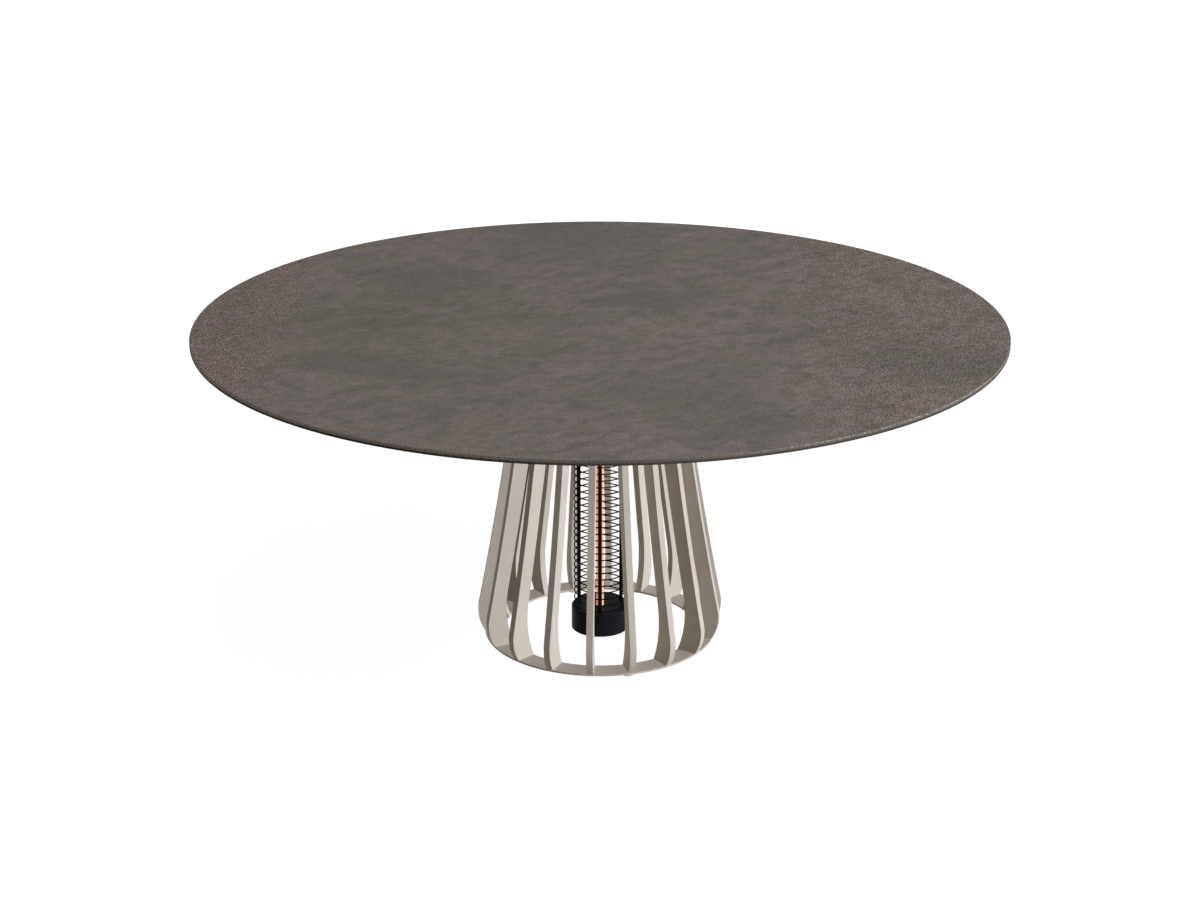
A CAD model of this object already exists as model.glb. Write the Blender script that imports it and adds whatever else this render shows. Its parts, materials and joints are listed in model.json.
"""Round low dining table: a stone slab on a flared cage of fins, with a caged lamp heater inside."""
import json
import math

import bmesh
import bpy
from mathutils import Matrix, Vector

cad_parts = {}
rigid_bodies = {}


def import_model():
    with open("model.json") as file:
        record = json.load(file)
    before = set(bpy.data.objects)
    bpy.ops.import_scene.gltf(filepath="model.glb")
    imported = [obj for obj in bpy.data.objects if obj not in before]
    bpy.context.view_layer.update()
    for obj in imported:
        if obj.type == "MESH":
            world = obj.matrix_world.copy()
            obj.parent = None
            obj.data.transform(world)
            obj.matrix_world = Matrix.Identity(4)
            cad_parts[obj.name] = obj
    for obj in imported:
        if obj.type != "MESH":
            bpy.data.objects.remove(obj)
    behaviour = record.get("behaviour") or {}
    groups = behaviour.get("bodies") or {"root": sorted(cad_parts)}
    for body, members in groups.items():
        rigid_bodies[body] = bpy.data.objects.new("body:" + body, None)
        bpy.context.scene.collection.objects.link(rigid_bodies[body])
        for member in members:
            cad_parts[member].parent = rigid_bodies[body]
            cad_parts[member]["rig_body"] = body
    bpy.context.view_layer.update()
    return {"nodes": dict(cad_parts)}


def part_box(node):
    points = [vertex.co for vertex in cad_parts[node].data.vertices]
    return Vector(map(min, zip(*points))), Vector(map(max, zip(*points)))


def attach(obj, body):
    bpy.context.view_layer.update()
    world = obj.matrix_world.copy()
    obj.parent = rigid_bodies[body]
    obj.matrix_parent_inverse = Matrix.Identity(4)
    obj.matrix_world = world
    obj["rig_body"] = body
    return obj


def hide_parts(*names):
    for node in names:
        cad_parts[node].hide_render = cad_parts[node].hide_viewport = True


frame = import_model()
scene = bpy.context.scene

# Camera
# The photograph faces the front guard rod and looks down on the slab through a long lens.
# The distance and the height come from the ellipses of the slab and of the floor ring.
camera_back = 4.3548
camera_height = 1.9686
camera_pitch = 19.85
camera_data = bpy.data.cameras.new("camera")
camera_data.lens = 69.0
camera_data.sensor_width = 36.0
camera = bpy.data.objects.new("camera", camera_data)
camera.location = (0.0, -camera_back, camera_height)
camera.rotation_euler = (math.radians(90.0 - camera_pitch), 0.0, 0.0)
scene.collection.objects.link(camera)
scene.camera = camera
scene.view_settings.view_transform = "Standard"


# Slab
# A round slab of sintered stone, ground matt and left with a rough sawn rim.
# It is bonded to the frame below with silicone pads and has no fixing of its own.
def add_node(tree, kind, inputs=None, **settings):
    """Adds a node with its settings, and fills its inputs with values or with other nodes' outputs."""
    node = tree.nodes.new(kind)
    for key, value in settings.items():
        setattr(node, key, value)
    for key, value in (inputs or {}).items():
        if isinstance(value, bpy.types.NodeSocket):
            tree.links.new(value, node.inputs[key])
        else:
            node.inputs[key].default_value = value
    return node


def number(tree, operation, *values):
    """The output of one sum."""
    return add_node(tree, "ShaderNodeMath", dict(enumerate(values)), operation=operation).outputs[0]


def vectors(tree, operation, first, second):
    """The vector that two vectors make."""
    return add_node(tree, "ShaderNodeVectorMath", {0: first, 1: second}, operation=operation).outputs[0]


def stretched(tree, value, low, high, to_low=0.0, to_high=1.0):
    """A value whose range from low to high is spread over another range, and clamped to it."""
    inputs = {"Value": value, "From Min": low, "From Max": high, "To Min": to_low, "To Max": to_high}
    return add_node(tree, "ShaderNodeMapRange", inputs).outputs[0]


def blended(tree, mask, first, second, mode="MIX"):
    """Two colours mixed by a mask."""
    inputs = {0: mask, 6: first, 7: second}
    return add_node(tree, "ShaderNodeMix", inputs, data_type="RGBA", blend_type=mode).outputs[2]


def parts_of(tree, vector):
    """The three parts of a vector."""
    return add_node(tree, "ShaderNodeSeparateXYZ", {0: vector}).outputs


def cloud(tree, place, scale, detail=4.0, distortion=0.0):
    """Noise between 0 and 1, with scale in patches per metre."""
    inputs = {"Vector": place, "Scale": scale, "Detail": detail, "Distortion": distortion}
    return add_node(tree, "ShaderNodeTexNoise", inputs).outputs[0]


def colour(red, green, blue):
    """A colour as it is seen on screen, from 0 to 255, as the linear value that a shader takes."""
    def linear(part):
        part /= 255.0
        return part / 12.92 if part <= 0.04045 else ((part + 0.055) / 1.055) ** 2.4

    return (linear(red), linear(green), linear(blue), 1.0)


def finish(name, roughness, **constants):
    """A material with a Principled shader: returns it, its tree, its shader and the place on the piece."""
    material = bpy.data.materials.new(name)
    material.use_nodes = True
    tree = material.node_tree
    shader = tree.nodes["Principled BSDF"]
    shader.inputs["Roughness"].default_value = roughness
    for key, value in constants.items():
        shader.inputs[key.replace("_", " ")].default_value = value
    place = tree.nodes.new("ShaderNodeTexCoord").outputs["Object"]
    return material, tree, shader, place


def paint(tree, shader, tone):
    """Feeds a colour to a shader."""
    tree.links.new(tone, shader.inputs["Base Color"])


def raise_surface(tree, shader, height, distance):
    """Feeds a height, over a real distance in metres, to a shader's normal."""
    bump = add_node(tree, "ShaderNodeBump", {"Height": height, "Distance": distance})
    tree.links.new(bump.outputs[0], shader.inputs["Normal"])


def as_mesh(shell, name):
    """The mesh that a finished shell makes."""
    mesh = bpy.data.meshes.new(name)
    shell.to_mesh(mesh)
    shell.free()
    return mesh


def turned(name, profile, segments):
    """A mesh made by turning an outline of (radius, height) points; (radius, height, 6) is six-sided."""
    shell = bmesh.new()
    loops = []
    for radius, height, *corners in profile:
        if radius == 0:
            loops.append([shell.verts.new((0.0, 0.0, height))])
            continue
        loop = []
        for step in range(segments):
            angle = math.tau * step / segments
            reach = radius
            if corners:
                half = math.pi / corners[0]
                reach = radius / math.cos((angle + half) % (2 * half) - half)
            loop.append(shell.verts.new((reach * math.cos(angle), reach * math.sin(angle), height)))
        loops.append(loop)
    pairs = list(zip(loops, loops[1:]))
    if len(loops[0]) > 1:
        pairs.append((loops[-1], loops[0]))
    for lower, upper in pairs:
        for step in range(segments):
            after = (step + 1) % segments
            corner_list = [lower[step % len(lower)], lower[after % len(lower)],
                           upper[after % len(upper)], upper[step % len(upper)]]
            face = list(dict.fromkeys(corner_list))
            if len(face) > 2:
                shell.faces.new(face)
    bmesh.ops.recalc_face_normals(shell, faces=shell.faces)
    return as_mesh(shell, name)


def smooth_by_angle(mesh, degrees):
    """Smooths a mesh's shading except across edges sharper than the angle."""
    shell = bmesh.new()
    shell.from_mesh(mesh)
    for face in shell.faces:
        face.smooth = True
    for edge in shell.edges:
        edge.smooth = len(edge.link_faces) == 2 and edge.calc_face_angle(0.0) < math.radians(degrees)
    shell.to_mesh(mesh)
    shell.free()


def show(mesh, name, material, body, slot, *replaced):
    """Puts a mesh in the scene as a piece of the object, in place of the CAD nodes named last."""
    piece = bpy.data.objects.new(name, mesh)
    scene.collection.objects.link(piece)
    mesh.materials.clear()
    mesh.materials.append(material)
    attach(piece, body)
    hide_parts(*replaced)
    return piece


slab_low, slab_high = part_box("tabletop")
slab_r = -slab_low.x
slab_arris = 0.0008
threads_per_metre = 200.535


def drawn(tree, place, bearing, squeeze):
    """The place, turned by some degrees and squeezed, so that a pattern on it is drawn out that way."""
    turn = {"Vector": place, "Angle": math.radians(-bearing)}
    turned_place = add_node(tree, "ShaderNodeVectorRotate", turn).outputs[0]
    return vectors(tree, "MULTIPLY", turned_place, (squeeze, 1.0, 0.0))


def blot(tree, place, spot, reach):
    """A soft edged cloud about one spot on the slab, 1 at its middle and 0 outside its reach."""
    stir = 0.45
    noise = add_node(tree, "ShaderNodeTexNoise", {"Vector": place, "Scale": 6.0, "Detail": 5.0})
    push = vectors(tree, "MULTIPLY", noise.outputs["Color"], (stir, stir, 0.0))
    stirred = vectors(tree, "ADD", place, push)
    centre = (spot[0] + stir / 2, spot[1] + stir / 2, slab_high.z)
    away = add_node(tree, "ShaderNodeVectorMath", {0: stirred, 1: centre}, operation="DISTANCE")
    return stretched(tree, away.outputs["Value"], reach, reach * 0.35)


def slab_stone():
    """Matt sintered stone, clouded in greenish grey and purplish brown, with a leathery grain."""
    material, tree, shader, place = finish("slab_stone", 0.75, Specular_IOR_Level=0.12)
    drawn_out = drawn(tree, place, 42.0, 0.7)
    green, plum = colour(98, 94, 88), colour(114, 105, 101)
    dusk, straw = colour(84, 84, 76), colour(112, 106, 95)
    fields = stretched(tree, cloud(tree, drawn_out, 4.2, 4.0, 0.9), 0.34, 0.56)
    tone = blended(tree, fields, green, plum)
    broad_stain = number(tree, "MULTIPLY", blot(tree, place, (-0.38, -0.03), 0.44), 0.9)
    tone = blended(tree, broad_stain, tone, colour(95, 93, 80))
    patches = stretched(tree, cloud(tree, drawn_out, 13.0, 5.0, 0.8), 0.4, 0.62)
    tone = blended(tree, number(tree, "MULTIPLY", patches, 0.6), tone, colour(117, 105, 107))
    drifts = stretched(tree, cloud(tree, drawn_out, 26.0, 6.0, 0.6), 0.42, 0.66)
    tone = blended(tree, number(tree, "MULTIPLY", drifts, 0.7), tone, dusk)
    warm = stretched(tree, cloud(tree, drawn_out, 6.0, 5.0, 0.5), 0.46, 0.66)
    tone = blended(tree, number(tree, "MULTIPLY", warm, 0.45), tone, straw)
    for *spot, reach in ((-0.36, 0.28, 0.2), (-0.43, -0.26, 0.17), (0.1, -0.49, 0.14), (0.23, -0.62, 0.12),
                         (0.64, -0.27, 0.17), (0.1, 0.2, 0.14), (-0.05, 0.66, 0.26)):
        stain = number(tree, "MULTIPLY", blot(tree, place, spot, reach), 0.6)
        tone = blended(tree, stain, tone, colour(89, 87, 82))
    along, depth, height_at = parts_of(tree, place)
    left_end = stretched(tree, along, -0.56, -0.68)
    coarse = number(tree, "MAXIMUM", stretched(tree, along, 0.33, 0.5, 0.0, 0.9), left_end)
    tone = blended(tree, number(tree, "MULTIPLY", left_end, 0.5), tone, colour(109, 97, 95))
    streaks = stretched(tree, cloud(tree, drawn(tree, place, 25.0, 0.65), 75.0, 5.0, 0.4), 0.3, 0.7)
    streaks = blended(tree, streaks, colour(148, 148, 143), colour(222, 216, 217))
    tone = blended(tree, stretched(tree, coarse, 0.0, 1.0, 0.32, 0.55), tone, streaks, "OVERLAY")
    grain = cloud(tree, place, 260.0, 3.0)
    specks = stretched(tree, grain, 0.35, 0.65)
    specks = blended(tree, specks, colour(140, 136, 134), colour(230, 225, 221))
    tone = blended(tree, stretched(tree, coarse, 0.0, 1.0, 0.14, 0.85), tone, specks, "OVERLAY")
    upward = parts_of(tree, add_node(tree, "ShaderNodeNewGeometry").outputs["Normal"])[2]
    rim = stretched(tree, number(tree, "ABSOLUTE", upward), 0.8, 0.5)
    chips = add_node(tree, "ShaderNodeTexVoronoi", {"Vector": place, "Scale": 420.0}).outputs["Color"]
    chips = stretched(tree, add_node(tree, "ShaderNodeSeparateColor", {0: chips}).outputs[0], 0.35, 0.95)
    upper = stretched(tree, height_at, slab_high.z - 0.004, slab_high.z - 0.0015)
    chipped = number(tree, "MULTIPLY", chips, stretched(tree, along, 0.1, 0.35, 0.0, 0.45))
    chipped = number(tree, "MULTIPLY", chipped, upper)
    sawn = blended(tree, chipped, colour(86, 80, 75), colour(190, 182, 174))
    leftward = stretched(tree, along, -0.5, 0.0)
    pale = blended(tree, chips, colour(140, 131, 124), colour(160, 151, 144))
    sawn = blended(tree, leftward, pale, sawn)
    shade = blended(tree, leftward, colour(20, 18, 16), colour(62, 57, 53))
    pale_foot, shade_top = slab_low.z + 0.0068, slab_low.z + 0.0053
    ragged = number(tree, "MULTIPLY_ADD", grain, 0.003, height_at)
    sawn = blended(tree, stretched(tree, ragged, pale_foot, shade_top), sawn, shade)
    tone = blended(tree, rim, tone, sawn)
    threads = []
    for line in (along, depth):
        wave = number(tree, "SINE", number(tree, "MULTIPLY", line, threads_per_metre * math.pi))
        threads.append(stretched(tree, number(tree, "ABSOLUTE", wave), 0.25, 0.1))
    net = number(tree, "MAXIMUM", *threads)
    raw = blended(tree, 0.6, tone, colour(120, 114, 106))
    back = blended(tree, number(tree, "MULTIPLY", net, 0.5), raw, colour(168, 164, 156))
    tone = blended(tree, stretched(tree, upward, -0.8, -0.9), tone, back)
    paint(tree, shader, tone)
    leather = {"Vector": place, "Scale": 260.0, "Smoothness": 0.6}
    cells = add_node(tree, "ShaderNodeTexVoronoi", leather, feature="SMOOTH_F1").outputs["Distance"]
    height = number(tree, "ADD", number(tree, "MULTIPLY", cells, 0.8), grain)
    height = number(tree, "MULTIPLY", height, stretched(tree, coarse, 0.0, 1.0, 0.5, 1.4))
    raise_surface(tree, shader, height, 0.0012)
    return material


slab_mesh = turned("slab", [
    (0.0, slab_low.z),
    (slab_r - 3 * slab_arris, slab_low.z),
    (slab_r - slab_arris, slab_low.z),
    (slab_r - slab_arris * 0.3, slab_low.z + slab_arris * 0.3),
    (slab_r, slab_low.z + slab_arris),
    (slab_r, slab_high.z - slab_arris),
    (slab_r - slab_arris * 0.3, slab_high.z - slab_arris * 0.3),
    (slab_r - slab_arris, slab_high.z),
    (slab_r - 3 * slab_arris, slab_high.z),
    (0.0, slab_high.z),
], 384)
smooth_by_angle(slab_mesh, 25.0)
show(slab_mesh, "slab", slab_stone(), "base", "slab", "tabletop")


# Frame under the slab
# Six tapered arms and six cross bars of box section steel, over a round hub plate, all satin black.
# The arms are welded to the plate, and silicone pads bond the slab to them.
def effect(name, inputs, outputs):
    """A shader node group shared by several materials: returns its tree, its inputs and its outputs."""
    tree = bpy.data.node_groups.new(name, "ShaderNodeTree")
    for label, kind in inputs:
        tree.interface.new_socket(label, in_out="INPUT", socket_type=kind)
    for label, kind in outputs:
        tree.interface.new_socket(label, in_out="OUTPUT", socket_type=kind)
    return tree, tree.nodes.new("NodeGroupInput").outputs, tree.nodes.new("NodeGroupOutput").inputs


def coat_grain_effect():
    """The fine pimpled skin of a powder coat, with its slow drift in tone."""
    tree, given, result = effect(
        "coat_grain",
        [("Place", "NodeSocketVector"), ("Grains per metre", "NodeSocketFloat")],
        [("Tone", "NodeSocketFloat"), ("Height", "NodeSocketFloat")],
    )
    cells = add_node(tree, "ShaderNodeTexVoronoi", {"Vector": given[0], "Scale": given[1]})
    pimples = cells.outputs["Distance"]
    fine = cloud(tree, given[0], number(tree, "MULTIPLY", given[1], 0.6), 3.0)
    drift = cloud(tree, given[0], 7.0, 3.0, 0.4)
    height = number(tree, "ADD", number(tree, "MULTIPLY", pimples, -0.6), fine)
    tone = number(tree, "MULTIPLY_ADD", fine, 0.45, number(tree, "MULTIPLY", drift, 0.55))
    tree.links.new(tone, result[0])
    tree.links.new(height, result[1])
    return tree


coat_grain = coat_grain_effect()


def coat(name, dark, light, grains, depth, roughness, spread, **constants):
    """A powder or enamel coat between two tones, with its grain in grains per metre and depth in metres."""
    material, tree, shader, place = finish(name, roughness, **constants)
    skin = add_node(tree, "ShaderNodeGroup", {}, node_tree=coat_grain)
    tree.links.new(place, skin.inputs[0])
    skin.inputs[1].default_value = grains
    paint(tree, shader, blended(tree, stretched(tree, skin.outputs[0], 0.35, 0.65), dark, light))
    gloss = stretched(tree, skin.outputs[0], 0.3, 0.7, roughness - spread, roughness + spread)
    tree.links.new(gloss, shader.inputs["Roughness"])
    raise_surface(tree, shader, skin.outputs[1], depth)
    return material


def plain(piece):
    """Turns what a piece's modifiers make into its own mesh, and removes them."""
    bpy.context.view_layer.update()
    graph = bpy.context.evaluated_depsgraph_get()
    piece.data = bpy.data.meshes.new_from_object(
        piece.evaluated_get(graph), preserve_all_data_layers=True, depsgraph=graph
    )
    piece.modifiers.clear()
    return piece.data


soft_bend, sharp_bend = math.radians(20.0), math.radians(35.0)


def rounded_copy(node, arris):
    """A CAD node's mesh, welded up and with its arrises rounded, its flat faces shaded as flat."""
    shell = bmesh.new()
    shell.from_mesh(frame["nodes"][node].data)
    bmesh.ops.remove_doubles(shell, verts=shell.verts, dist=1e-6)
    bmesh.ops.dissolve_limit(
        shell, angle_limit=math.radians(0.1), verts=shell.verts, edges=shell.edges, delimit={"NORMAL"}
    )
    for face in shell.faces:
        face.smooth = True
    for edge in shell.edges:
        bend = edge.calc_face_angle(0.0)
        edge.smooth = not soft_bend < bend < sharp_bend
    piece = bpy.data.objects.new(node + "_work", as_mesh(shell, node))
    scene.collection.objects.link(piece)
    bevel = piece.modifiers.new("arris", "BEVEL")
    bevel.width = arris
    bevel.segments = 2
    bevel.limit_method = "ANGLE"
    bevel.angle_limit = sharp_bend
    flat = piece.modifiers.new("flat faces", "WEIGHTED_NORMAL")
    flat.mode = "FACE_AREA"
    flat.keep_sharp = True
    mesh = plain(piece)
    bpy.data.objects.remove(piece)
    return mesh


def show_rounded(node, arris, material, slot):
    """Shows a CAD node with rounded arrises and its finish."""
    body = frame["nodes"][node]["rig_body"]
    return show(rounded_copy(node, arris), node + "_made", material, body, slot, node)


frame_black = coat(
    "frame_black", colour(28, 28, 29), colour(38, 38, 39), 900.0, 0.0001, 0.5, 0.06, Specular_IOR_Level=0.3
)
for arm in range(1, 7):
    show_rounded(f"frame_arm_{arm}", 0.0012, frame_black, "frame_coat")
show_rounded("hub_plate", 0.0008, frame_black, "frame_coat")


def tree_of_nodes(name, inputs):
    """A Geometry Nodes tree with named inputs: returns it, its inputs and its one output."""
    tree = bpy.data.node_groups.new(name, "GeometryNodeTree")
    for label, kind in inputs:
        tree.interface.new_socket(label, in_out="INPUT", socket_type=kind)
    tree.interface.new_socket("Geometry", in_out="OUTPUT", socket_type="NodeSocketGeometry")
    return tree, tree.nodes.new("NodeGroupInput").outputs, tree.nodes.new("NodeGroupOutput").inputs[0]


def coated(tree, geometry, coating, result):
    """Gives the geometry its finish and ends the tree with it."""
    ready = add_node(tree, "GeometryNodeSetMaterial", {"Geometry": geometry, "Material": coating})
    tree.links.new(ready.outputs[0], result)


def set_round_tree():
    """Repeats a piece round the table's axis at even steps, the first where it is drawn."""
    tree, given, result = tree_of_nodes("set_round", [
        ("Piece", "NodeSocketGeometry"),
        ("Count", "NodeSocketInt"),
        ("Finish", "NodeSocketMaterial"),
    ])
    points = add_node(tree, "GeometryNodePoints", {"Count": given["Count"]})
    place = add_node(tree, "GeometryNodeInputIndex")
    turn = number(tree, "MULTIPLY", place.outputs[0], number(tree, "DIVIDE", math.tau, given["Count"]))
    rotation = add_node(tree, "ShaderNodeCombineXYZ", {"Z": turn})
    copies = add_node(tree, "GeometryNodeInstanceOnPoints", {
        "Points": points.outputs[0],
        "Instance": given["Piece"],
        "Rotation": rotation.outputs[0],
    })
    solid = add_node(tree, "GeometryNodeRealizeInstances", {"Geometry": copies.outputs[0]})
    coated(tree, solid.outputs[0], given["Finish"], result)
    return tree


def grown(mesh, tree, **values):
    """The plain mesh that a Geometry Nodes tree makes from a mesh and its named inputs."""
    piece = bpy.data.objects.new("work", mesh)
    scene.collection.objects.link(piece)
    modifier = piece.modifiers.new("nodes", "NODES")
    modifier.node_group = tree
    for item in tree.interface.items_tree:
        label = item.name.replace(" ", "_")
        if item.in_out == "INPUT" and label in values:
            modifier[item.identifier] = values[label]
    made = plain(piece)
    bpy.data.objects.remove(piece)
    return made


def joined(name, *meshes):
    """One mesh made of several."""
    shell = bmesh.new()
    for mesh in meshes:
        shell.from_mesh(mesh)
    return as_mesh(shell, name)


def skinned(shell, rings):
    """Joins rings of points, each with as many points, into a tube with closed ends."""
    around = len(rings[0])
    for lower, upper in zip(rings, rings[1:]):
        for step in range(around):
            after = (step + 1) % around
            shell.faces.new((lower[step], lower[after], upper[after], upper[step]))
    shell.faces.new(rings[0][::-1])
    shell.faces.new(rings[-1])


def weld_bead(shell, corners, radius):
    """Adds a rippled bead along a line of (outwards, sideways, up) points from an arm's middle plane."""
    line = []
    for start, end in zip(corners, corners[1:]):
        start, end = Vector(start), Vector(end)
        steps = max(2, round((end - start).length / 0.0012))
        line += [start.lerp(end, step / steps) for step in range(steps)]
    line.append(Vector(corners[-1]))
    rings = []
    for place, point in enumerate(line):
        ahead = (line[min(place + 1, len(line) - 1)] - line[max(place - 1, 0)]).normalized()
        side = ahead.cross(Vector((0.31, 0.52, 0.8))).normalized()
        lift = ahead.cross(side)
        size = radius * (1.0 + 0.14 * math.sin(place * 1.9))
        if place in (0, len(line) - 1):
            size *= 0.5
        ring = []
        for step in range(6):
            angle = math.tau * step / 6
            ring.append(shell.verts.new(point + size * (math.cos(angle) * side + math.sin(angle) * lift)))
        rings.append(ring)
    skinned(shell, rings)


fin_bearing = 15.2
arm_half_width = 0.01
arm_foot_r = 0.0705
bar_near_r, bar_far_r = 0.5777, 0.6008


def arm_welds():
    """The beads on the first arm: at its foot on the hub plate, and where two cross bars meet its sides."""
    plate_r, plate_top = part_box("hub_plate")[1].x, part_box("hub_plate")[1].z
    bar_low, bar_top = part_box("frame_bars")[0].z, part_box("frame_bars")[1].z - 0.002
    side, foot, near, far = arm_half_width, arm_foot_r, bar_near_r, bar_far_r
    shell = bmesh.new()
    weld_bead(shell, [(plate_r, side, plate_top), (foot, side, plate_top), (foot, -side, plate_top),
                      (plate_r, -side, plate_top)], 0.0028)
    weld_bead(shell, [(plate_r, side, plate_top - 0.001), (plate_r, -side, plate_top - 0.001)], 0.0026)
    for face in (side, -side):
        weld_bead(shell, [(near, face, bar_top), (near, face, bar_low), (far, face, bar_low),
                          (far, face, bar_top)], 0.0022)
    bmesh.ops.recalc_face_normals(shell, faces=shell.faces)
    for face in shell.faces:
        face.smooth = True
    turn = Matrix.Rotation(math.radians(fin_bearing - 90.0), 3, "Z")
    bmesh.ops.rotate(shell, verts=shell.verts, matrix=turn)
    return as_mesh(shell, "welds")


set_round = set_round_tree()
welds = grown(arm_welds(), set_round, Count=6, Finish=frame_black)
bars = joined("bars", rounded_copy("frame_bars", 0.0012), welds)
show(bars, "frame_bars_welded", frame_black, "base", "frame_coat", "frame_bars")


def pad_silicone():
    """Black silicone, pressed flat, with the faint ripple of a bead that was squeezed out."""
    material, tree, shader, place = finish("pad_silicone", 0.42, Specular_IOR_Level=0.4)
    ripple = cloud(tree, place, 160.0, 3.0)
    paint(tree, shader, blended(tree, ripple, colour(38, 38, 39), colour(56, 56, 57)))
    raise_surface(tree, shader, ripple, 0.0004)
    return material


show_rounded("bond_pads", 0.0008, pad_silicone(), "silicone")


# Fins
# Eighteen plates cut from 13 mm aluminium, with their arrises broken and a sand coloured powder coat.
# Each stands on the floor ring with its flare outwards, held by two screws below and one above.
fin_count = 18
fin_names = [f"fin_{place:02d}" for place in range(1, fin_count + 1)]
sand_coat = coat(
    "sand_coat", colour(172, 164, 154), colour(184, 176, 166), 1100.0, 0.00008, 0.55, 0.05,
    Specular_IOR_Level=0.2
)
inner_screw_r, outer_screw_r = 0.2035, 0.2285


def bore_filling(low, high, reach, radius, edge_low, edge_high):
    """A filling in the inner screw's bore, a hair below the fin's edge from edge_low to edge_high."""
    sunk = 0.00003
    slope = (edge_high[1] - edge_low[1]) / (edge_high[0] - edge_low[0])
    shell = bmesh.new()
    rings = []
    for row in range(7):
        z = low + (high - low) * row / 6
        edge = edge_low[1] + slope * (z - edge_low[0]) + sunk
        ring = []
        for step in range(24):
            angle = math.tau * step / 24
            out = max(reach + radius * math.cos(angle), edge)
            ring.append(shell.verts.new((radius * math.sin(angle), -out, z)))
        rings.append(ring)
    skinned(shell, rings)
    bmesh.ops.recalc_face_normals(shell, faces=shell.faces)
    bmesh.ops.rotate(shell, verts=shell.verts, matrix=Matrix.Rotation(math.radians(fin_bearing), 3, "Z"))
    return as_mesh(shell, "filling")


# The CAD's bore for the inner screw breaks out of the fin's inner edge. The screw is shown shorter here,
# and the filling closes the bore flush with that edge.
filling = bore_filling(
    low=0.0235, high=0.0334, reach=inner_screw_r, radius=0.0034,
    edge_low=(0.0198, 0.19855), edge_high=(0.033, 0.20298)
)
fin_mesh = joined("fin", rounded_copy(fin_names[0], 0.0008), filling)
fins_mesh = grown(fin_mesh, set_round, Count=fin_count, Finish=sand_coat)
show(fins_mesh, "fins", sand_coat, "base", "fin_coat", *fin_names)
show_rounded("fin_ring", 0.0006, sand_coat, "fin_coat")


# Floor ring
# A flat ring cut from 4 mm aluminium plate and coated as the fins are.
# It is screwed to the fins from below, and carries the bushes of the levelling feet.
show_rounded("floor_ring", 0.0005, sand_coat, "fin_coat")


# Screws and bolts
# Zinc plated steel: countersunk socket screws into both ends of the fins, hexagon bolts through the hub
# plate and the ring on the fin tops, and domed screws that hold the heater's head up to the hub plate.
def machined_effect():
    """The turned lines and blotches of plated metal."""
    tree, given, result = effect(
        "machined",
        [("Place", "NodeSocketVector")],
        [("Tone", "NodeSocketFloat"), ("Height", "NodeSocketFloat")],
    )
    lines = cloud(tree, vectors(tree, "MULTIPLY", given[0], (60.0, 60.0, 2400.0)), 1.0, 3.0)
    blotches = cloud(tree, given[0], 300.0, 4.0)
    tone = number(tree, "MULTIPLY_ADD", lines, 0.4, number(tree, "MULTIPLY", blotches, 0.6))
    tree.links.new(tone, result[0])
    tree.links.new(lines, result[1])
    return tree


machined = machined_effect()


def bare_metal(name, dark, light, roughness):
    """Plated or turned metal between two tones."""
    material, tree, shader, place = finish(name, roughness, Metallic=1.0)
    lines = add_node(tree, "ShaderNodeGroup", {}, node_tree=machined)
    tree.links.new(place, lines.inputs[0])
    paint(tree, shader, blended(tree, stretched(tree, lines.outputs[0], 0.35, 0.65), dark, light))
    gloss = stretched(tree, lines.outputs[0], 0.3, 0.7, roughness - 0.08, roughness + 0.1)
    tree.links.new(gloss, shader.inputs["Roughness"])
    raise_surface(tree, shader, lines.outputs[1], 0.00003)
    return material


zinc = bare_metal("zinc", colour(150, 152, 156), colour(196, 197, 196), 0.34)


def threaded(name, radius, pitch, low, high):
    """A rod with a screw thread cut into it, chamfered at both ends."""
    around, rows_per_turn = 24, 6
    rows = round((high - low) / pitch * rows_per_turn)
    depth = 0.61 * pitch
    shell = bmesh.new()
    loops = []
    for row in range(rows + 1):
        z = low + (high - low) * row / rows
        into = min(z - low, high - z)
        loop = []
        for step in range(around):
            phase = (z / pitch - step / around) % 1.0
            reach = radius - depth * abs(2 * phase - 1) ** 0.8
            reach = min(reach, radius - depth + into)
            angle = math.tau * step / around
            loop.append(shell.verts.new((reach * math.cos(angle), reach * math.sin(angle), z)))
        loops.append(loop)
    skinned(shell, loops)
    return as_mesh(shell, name)


def moved(mesh, bearing, radius):
    """Moves a mesh from the table's axis out to a bearing, counted from the front towards the right."""
    turn = math.radians(bearing)
    out = Matrix.Translation((radius * math.sin(turn), -radius * math.cos(turn), 0.0))
    mesh.transform(out @ Matrix.Rotation(turn, 4, "Z"))
    return mesh


def hexagon_piece(name, flats, low, high, bore=0.0):
    """A hexagon bolt head or nut, with its corners turned off at both faces."""
    half, chamfer = flats / 2, flats * 0.03
    profile = [
        (half * 0.95, low),
        (half, low + chamfer, 6),
        (half, high - chamfer, 6),
        (half * 0.95, high),
    ]
    return turned(name, [(bore, low), *profile, (bore, high)], 24)


def countersunk_screw(name, shank, head, socket, face, length):
    """A countersunk screw with a hexagon socket, its head down."""
    return turned(name, [
        (0.0, face + 0.0018),
        (socket, face + 0.0018, 6),
        (socket, face + 0.0002, 6),
        (socket * 1.25, face),
        (head - 0.0002, face),
        (head, face + 0.0002),
        (shank, face + 0.00275),
        (shank, face + length),
        (0.0, face + length),
    ], 24)


base_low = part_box("base_screws")[0]
base_screw_pair = []
for radius, length in ((inner_screw_r, 0.016), (outer_screw_r, 0.025)):
    screw = countersunk_screw("screw", 0.0025, 0.005, 0.0015, base_low.z, length)
    base_screw_pair.append(moved(screw, fin_bearing, radius))
base_screws = grown(joined("base_screws", *base_screw_pair), set_round, Count=fin_count, Finish=zinc)
smooth_by_angle(base_screws, 30.0)
show(base_screws, "base_screws_socketed", zinc, "base", "zinc", "base_screws")

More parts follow.
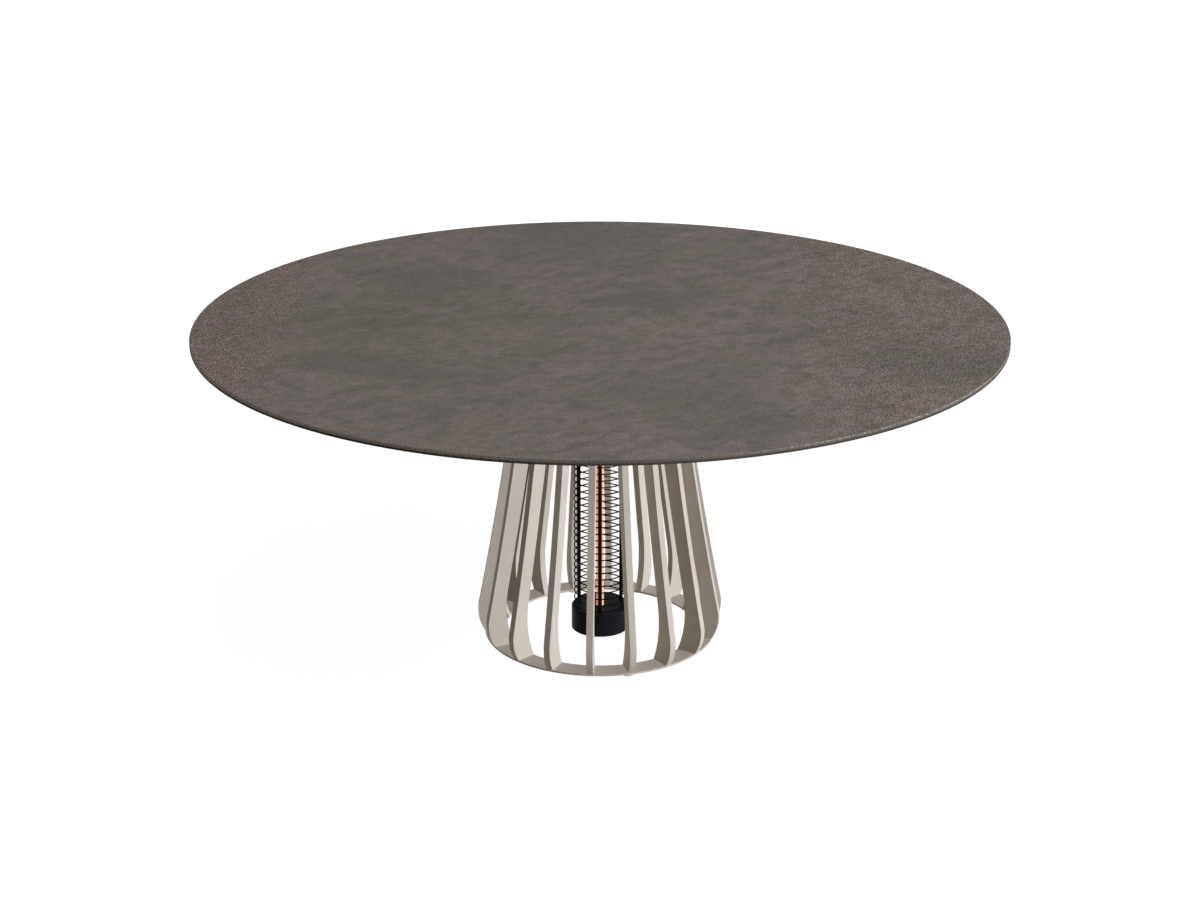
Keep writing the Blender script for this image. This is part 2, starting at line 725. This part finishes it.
bolt_low, bolt_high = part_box("hub_bolts")
plate_low, plate_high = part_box("fin_ring")[0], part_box("hub_plate")[1]
bolt_flats = 0.0128
bolt_circle, head_screw_circle = 0.143, 0.078
between_arms = fin_bearing + 30.0
m8_r, m8_pitch = 0.004, 0.00125
nut_t, nut_bore = 0.0064, 0.0039
bolt = joined(
    "bolt",
    hexagon_piece("head", bolt_flats, bolt_low.z, plate_low.z),
    threaded("thread", m8_r, m8_pitch, plate_low.z, bolt_high.z),
    hexagon_piece("nut", bolt_flats, plate_high.z, plate_high.z + nut_t, nut_bore),
)
moved(bolt, between_arms, bolt_circle)
hub_bolts = grown(bolt, set_round, Count=6, Finish=zinc)
smooth_by_angle(hub_bolts, 30.0)
show(hub_bolts, "hub_bolts_threaded", zinc, "base", "zinc", "hub_bolts")

screw_low, screw_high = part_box("head_screws")
head_screw = turned("head_screw", [
    (0.0, screw_low.z + 0.0016),
    (0.0015, screw_low.z + 0.0016, 6),
    (0.0015, screw_low.z + 0.0001, 6),
    (0.0022, screw_low.z),
    (0.0036, screw_low.z + 0.0002),
    (0.0046, screw_low.z + 0.001),
    (0.005, screw_low.z + 0.0024),
    (0.005, screw_low.z + 0.003),
    (0.0025, screw_low.z + 0.003),
    (0.0025, screw_high.z),
    (0.0, screw_high.z),
], 24)
head_screws = grown(moved(head_screw, between_arms, head_screw_circle), set_round, Count=3, Finish=zinc)
smooth_by_angle(head_screws, 30.0)
show(head_screws, "head_screws_domed", zinc, "base", "zinc", "head_screws")
show_rounded("top_screws", 0.0003, zinc, "zinc")


# Levelling feet
# Each foot is a zinc plated M8 stud with a moulded glide, screwed into a brass bush in the floor ring.
# It is turned by the spanner flats below the thread, and the glide stays still on the floor.
brass = bare_metal("brass", colour(176, 146, 82), colour(206, 178, 112), 0.28)
show_rounded("foot_inserts", 0.0003, brass, "brass")


def glide_plastic():
    """Milky grey moulded plastic with a satin skin."""
    material, tree, shader, place = finish(
        "glide_plastic", 0.4, Subsurface_Weight=0.25, Subsurface_Scale=0.004
    )
    flow = cloud(tree, place, 90.0, 3.0, 0.8)
    paint(tree, shader, blended(tree, flow, colour(196, 196, 193), colour(214, 214, 211)))
    raise_surface(tree, shader, cloud(tree, place, 1500.0, 2.0), 0.00004)
    return material


glide = glide_plastic()
foot_circle = 0.216
spanner_flats = 0.013
for foot in range(1, 5):
    show_rounded(f"foot_pad_{foot}", 0.0003, glide, "glide")
    stud_low, stud_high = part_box(f"foot_stud_{foot}")
    flange_top, neck_top, flats_top = stud_low.z + 0.0014, stud_low.z + 0.0036, stud_low.z + 0.0051
    stud = joined(
        "stud",
        turned("flange", [(0.0, stud_low.z), (0.0058, stud_low.z), (0.006, stud_low.z + 0.0002),
                          (0.006, flange_top), (0.0, flange_top)], 32),
        turned("neck", [(0.0, flange_top), (0.0037, flange_top), (0.0037, neck_top), (0.0, neck_top)], 32),
        hexagon_piece("spanner_flats", spanner_flats, neck_top, flats_top),
        threaded("thread", m8_r, m8_pitch, flats_top, stud_high.z),
    )
    moved(stud, fin_bearing + 90.0 * (foot - 1), foot_circle)
    smooth_by_angle(stud, 35.0)
    show(stud, f"foot_stud_{foot}_threaded", zinc, f"stud_{foot}", "zinc", f"foot_stud_{foot}")


# Heater drum and head
# Two drawn steel cups in gloss black. The head is screwed up under the hub plate, and the drum hangs
# below it on the guard rods, open end down, with a cover plate on pillars and a nylon cable gland.
gloss_black = coat(
    "gloss_black", colour(18, 20, 23), colour(25, 27, 30), 500.0, 0.00004, 0.38, 0.05,
    Specular_IOR_Level=0.02
)
for node in ("drum_shell", "drum_cover", "head_shell"):
    show_rounded(node, 0.0004, gloss_black, "heater_coat")
for node in ("drum_pillars", "cover_screws", "rod_nuts"):
    show_rounded(node, 0.0002, zinc, "zinc")


def moulded_black():
    """Black nylon with a fine sparked texture."""
    material, tree, shader, place = finish("moulded_black", 0.5)
    grain = cloud(tree, place, 1400.0, 2.0)
    paint(tree, shader, blended(tree, grain, colour(22, 22, 23), colour(34, 34, 35)))
    raise_surface(tree, shader, grain, 0.00008)
    return material


show_rounded("cable_gland", 0.0003, moulded_black(), "gland")


def fired_ceramic():
    """Unglazed steatite, off white with fine dark specks."""
    material, tree, shader, place = finish("fired_ceramic", 0.68)
    specks = stretched(tree, cloud(tree, place, 800.0, 2.0), 0.66, 0.72)
    body = blended(tree, cloud(tree, place, 60.0), colour(214, 209, 198), colour(228, 224, 214))
    paint(tree, shader, blended(tree, specks, body, colour(150, 142, 130)))
    raise_surface(tree, shader, cloud(tree, place, 900.0), 0.0001)
    return material


ceramic = fired_ceramic()
for node in ("terminal_block", "lamp_ends", "lamp_holders"):
    show_rounded(node, 0.0004, ceramic, "ceramic")


# Guard
# Three steel rods between head and drum carry a stack of wire hoops, all in satin black.
# The hoops are bent from 2.6 mm wire and welded to the rods.
wire_black = coat(
    "wire_black", colour(4, 4, 4), colour(9, 9, 9), 1200.0, 0.00005, 0.6, 0.05, Specular_IOR_Level=0.02
)
for node in ("guard_rod_front", "guard_rod_right", "guard_rod_left"):
    show_rounded(node, 0.0002, wire_black, "guard_coat")


def circle(tree, resolution, radius):
    """The curve of a circle, in a Geometry Nodes tree."""
    inputs = {"Resolution": resolution, "Radius": radius}
    return add_node(tree, "GeometryNodeCurvePrimitiveCircle", inputs).outputs[0]


def hoop_stack_tree():
    """Wire hoops, one above the other."""
    tree, given, result = tree_of_nodes("hoop_stack", [
        ("Start", "NodeSocketGeometry"),
        ("Hoop radius", "NodeSocketFloat"),
        ("Wire radius", "NodeSocketFloat"),
        ("Count", "NodeSocketInt"),
        ("Lowest", "NodeSocketFloat"),
        ("Pitch", "NodeSocketFloat"),
        ("Finish", "NodeSocketMaterial"),
    ])
    path = circle(tree, 96, given["Hoop radius"])
    wire = circle(tree, 10, given["Wire radius"])
    hoop = add_node(tree, "GeometryNodeCurveToMesh", {"Curve": path, "Profile Curve": wire})
    soft = add_node(tree, "GeometryNodeSetShadeSmooth", {"Geometry": hoop.outputs[0]})
    first = add_node(tree, "ShaderNodeCombineXYZ", {"Z": given["Lowest"]})
    step = add_node(tree, "ShaderNodeCombineXYZ", {"Z": given["Pitch"]})
    line = add_node(tree, "GeometryNodeMeshLine", {
        "Count": given["Count"], "Start Location": first.outputs[0], "Offset": step.outputs[0],
    })
    stack = {"Points": line.outputs[0], "Instance": soft.outputs[0]}
    copies = add_node(tree, "GeometryNodeInstanceOnPoints", stack)
    solid = add_node(tree, "GeometryNodeRealizeInstances", {"Geometry": copies.outputs[0]})
    coated(tree, solid.outputs[0], given["Finish"], result)
    return tree


hoops_low, hoops_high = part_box("guard_hoops_lower")[0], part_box("guard_hoops_upper")[1]
wire_r = 0.0013
hoop_pitch = 0.0143
hoop_count = round((hoops_high.z - hoops_low.z - 2 * wire_r) / hoop_pitch) + 1
hoops_mesh = grown(
    bpy.data.meshes.new("hoops"),
    hoop_stack_tree(),
    Hoop_radius=hoops_high.x - wire_r,
    Wire_radius=wire_r,
    Count=hoop_count,
    Lowest=hoops_low.z + wire_r,
    Pitch=hoop_pitch,
    Finish=wire_black,
)
show(hoops_mesh, "guard_hoops_wound", wire_black, "base", "guard_coat",
     "guard_hoops_lower", "guard_hoops_upper")


# Lamp
# A carbon filament, wound as a long spiral, glows inside a quartz tube, which takes the glow on as a
# milky amber. Ceramic ends hold the tube in sockets on the drum and in the head.
def glowing_quartz():
    """Quartz that glows pinker on one side and yellower on the other."""
    material, tree, shader, place = finish(
        "glowing_quartz", 0.25, Transmission_Weight=0.5, IOR=1.46, Emission_Strength=0.17
    )
    side = stretched(tree, parts_of(tree, place)[0], -0.004, 0.004)
    bands = cloud(tree, place, 40.0, 2.0)
    glow = blended(tree, side, colour(255, 188, 140), colour(255, 222, 150))
    glow = blended(tree, number(tree, "MULTIPLY", bands, 0.3), glow, colour(255, 240, 214))
    tree.links.new(glow, shader.inputs["Emission Color"])
    paint(tree, shader, blended(tree, bands, colour(206, 156, 112), colour(222, 182, 138)))
    return material


show_rounded("lamp_glass", 0.0002, glowing_quartz(), "quartz")


def hot_carbon():
    """Carbon at a bright orange heat."""
    material, tree, shader, place = finish("hot_carbon", 0.8, Emission_Strength=1.2)
    heat = cloud(tree, place, 120.0, 2.0)
    glow = blended(tree, heat, colour(255, 120, 40), colour(255, 190, 90))
    tree.links.new(glow, shader.inputs["Emission Color"])
    paint(tree, shader, blended(tree, heat, colour(60, 30, 20), colour(90, 50, 30)))
    return material


def filament_tree():
    """A carbon filament wound as a long spiral."""
    tree, given, result = tree_of_nodes("filament", [
        ("Start", "NodeSocketGeometry"),
        ("Winding radius", "NodeSocketFloat"),
        ("Strand radius", "NodeSocketFloat"),
        ("Turns", "NodeSocketFloat"),
        ("Length", "NodeSocketFloat"),
        ("Lowest", "NodeSocketFloat"),
        ("Finish", "NodeSocketMaterial"),
    ])
    spiral = add_node(tree, "GeometryNodeCurveSpiral", {
        "Resolution": 14,
        "Rotations": given["Turns"],
        "Start Radius": given["Winding radius"],
        "End Radius": given["Winding radius"],
        "Height": given["Length"],
    })
    strand = circle(tree, 6, given["Strand radius"])
    wound = add_node(tree, "GeometryNodeCurveToMesh", {
        "Curve": spiral.outputs[0], "Profile Curve": strand, "Fill Caps": True,
    })
    lift = add_node(tree, "ShaderNodeCombineXYZ", {"Z": given["Lowest"]}).outputs[0]
    lifted = add_node(tree, "GeometryNodeTransform", {"Geometry": wound.outputs[0], "Translation": lift})
    soft = add_node(tree, "GeometryNodeSetShadeSmooth", {"Geometry": lifted.outputs[0]})
    coated(tree, soft.outputs[0], given["Finish"], result)
    return tree


carbon = hot_carbon()
element_low, element_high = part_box("lamp_element")
strand_r = 0.0006
element_mesh = grown(
    bpy.data.meshes.new("filament"),
    filament_tree(),
    Winding_radius=element_high.x - strand_r,
    Strand_radius=strand_r,
    Turns=112.0,
    Length=element_high.z - element_low.z - 2 * strand_r,
    Lowest=element_low.z + strand_r,
    Finish=carbon,
)
show(element_mesh, "lamp_filament", carbon, "base", "carbon", "lamp_element")


# Studio
# A white room with a soft lamp from the right and another above, and a pale floor that keeps the shadow.
# The lamp from the right casts none, as none of its shadows show in the photograph.
floor_reach = 30.0


def seen_directly(tree):
    """1 for what the camera, gloss and glass see, and 0 for what only lights the object."""
    path = add_node(tree, "ShaderNodeLightPath")
    seen = number(tree, "MAXIMUM", path.outputs["Is Camera Ray"], path.outputs["Is Glossy Ray"])
    return number(tree, "MAXIMUM", seen, path.outputs["Is Transmission Ray"])


def studio_floor(brightening):
    """A wide floor that cannot be seen from below, brightened so that only a light shadow is left on it."""
    mesh = bpy.data.meshes.new("floor")
    corners = [(-floor_reach, -floor_reach, 0.0), (floor_reach, -floor_reach, 0.0),
               (floor_reach, floor_reach, 0.0), (-floor_reach, floor_reach, 0.0)]
    mesh.from_pydata(corners, [], [(0, 1, 2, 3)])
    material = bpy.data.materials.new("floor")
    material.use_nodes = True
    tree = material.node_tree
    tree.nodes.clear()
    white = add_node(tree, "ShaderNodeBsdfDiffuse", {"Color": (0.5, 0.44, 0.39, 1.0)})
    place = add_node(tree, "ShaderNodeTexCoord").outputs["Object"]
    away = add_node(tree, "ShaderNodeVectorMath", {0: place}, operation="LENGTH").outputs["Value"]
    brighter = stretched(tree, away, 1.5, 4.0, brightening, 1.0)
    strength = number(tree, "MULTIPLY", seen_directly(tree), brighter)
    glow = add_node(tree, "ShaderNodeEmission", {"Color": (0.97, 1.0, 1.03, 1.0), "Strength": strength})
    lit = add_node(tree, "ShaderNodeAddShader", {0: white.outputs[0], 1: glow.outputs[0]})
    clear = add_node(tree, "ShaderNodeBsdfTransparent")
    back = add_node(tree, "ShaderNodeNewGeometry").outputs["Backfacing"]
    both = add_node(tree, "ShaderNodeMixShader", {0: back, 1: lit.outputs[0], 2: clear.outputs[0]})
    add_node(tree, "ShaderNodeOutputMaterial", {"Surface": both.outputs[0]})
    mesh.materials.append(material)
    floor = bpy.data.objects.new("floor", mesh)
    scene.collection.objects.link(floor)


def studio_world(level, tint):
    """A room that lights the object to the level given, and that the camera, gloss and glass see as white."""
    world = bpy.data.worlds.new("studio")
    world.use_nodes = True
    tree = world.node_tree
    tree.nodes.clear()
    fill = add_node(tree, "ShaderNodeBackground", {"Color": (*tint, 1.0), "Strength": level})
    white = add_node(tree, "ShaderNodeBackground", {"Color": (1.0, 1.0, 1.0, 1.0), "Strength": 1.0})
    choice = {0: seen_directly(tree), 1: fill.outputs[0], 2: white.outputs[0]}
    both = add_node(tree, "ShaderNodeMixShader", choice)
    add_node(tree, "ShaderNodeOutputWorld", {"Surface": both.outputs[0]})
    scene.world = world


def soft_lamp(name, place, target, size, level, tint, shadows=True):
    """An oblong lamp that lights a white surface at the target, facing it, to the level given."""
    reach = (Vector(target) - Vector(place)).length
    data = bpy.data.lights.new(name, "AREA")
    data.shape = "RECTANGLE"
    data.size, data.size_y = size
    data.energy = level * math.pi ** 2 * reach ** 2
    data.color = tint
    data.use_shadow = shadows
    lamp = bpy.data.objects.new(name, data)
    lamp.location = place
    lamp.rotation_euler = (Vector(target) - Vector(place)).to_track_quat("-Z", "Y").to_euler()
    lamp.visible_camera = False
    scene.collection.objects.link(lamp)


studio_floor(0.755)
studio_world(0.2, (1.0, 0.95, 0.89))
soft_lamp("key", (15.0, -6.2, 5.6), (0.0, 0.0, 0.3), (9.0, 5.0), 1.46, (0.96, 1.0, 1.05), shadows=False)
soft_lamp("above", (0.6, -0.8, 3.4), (0.1, 0.0, 0.667), (2.6, 2.6), 0.27, (1.0, 0.98, 1.01))
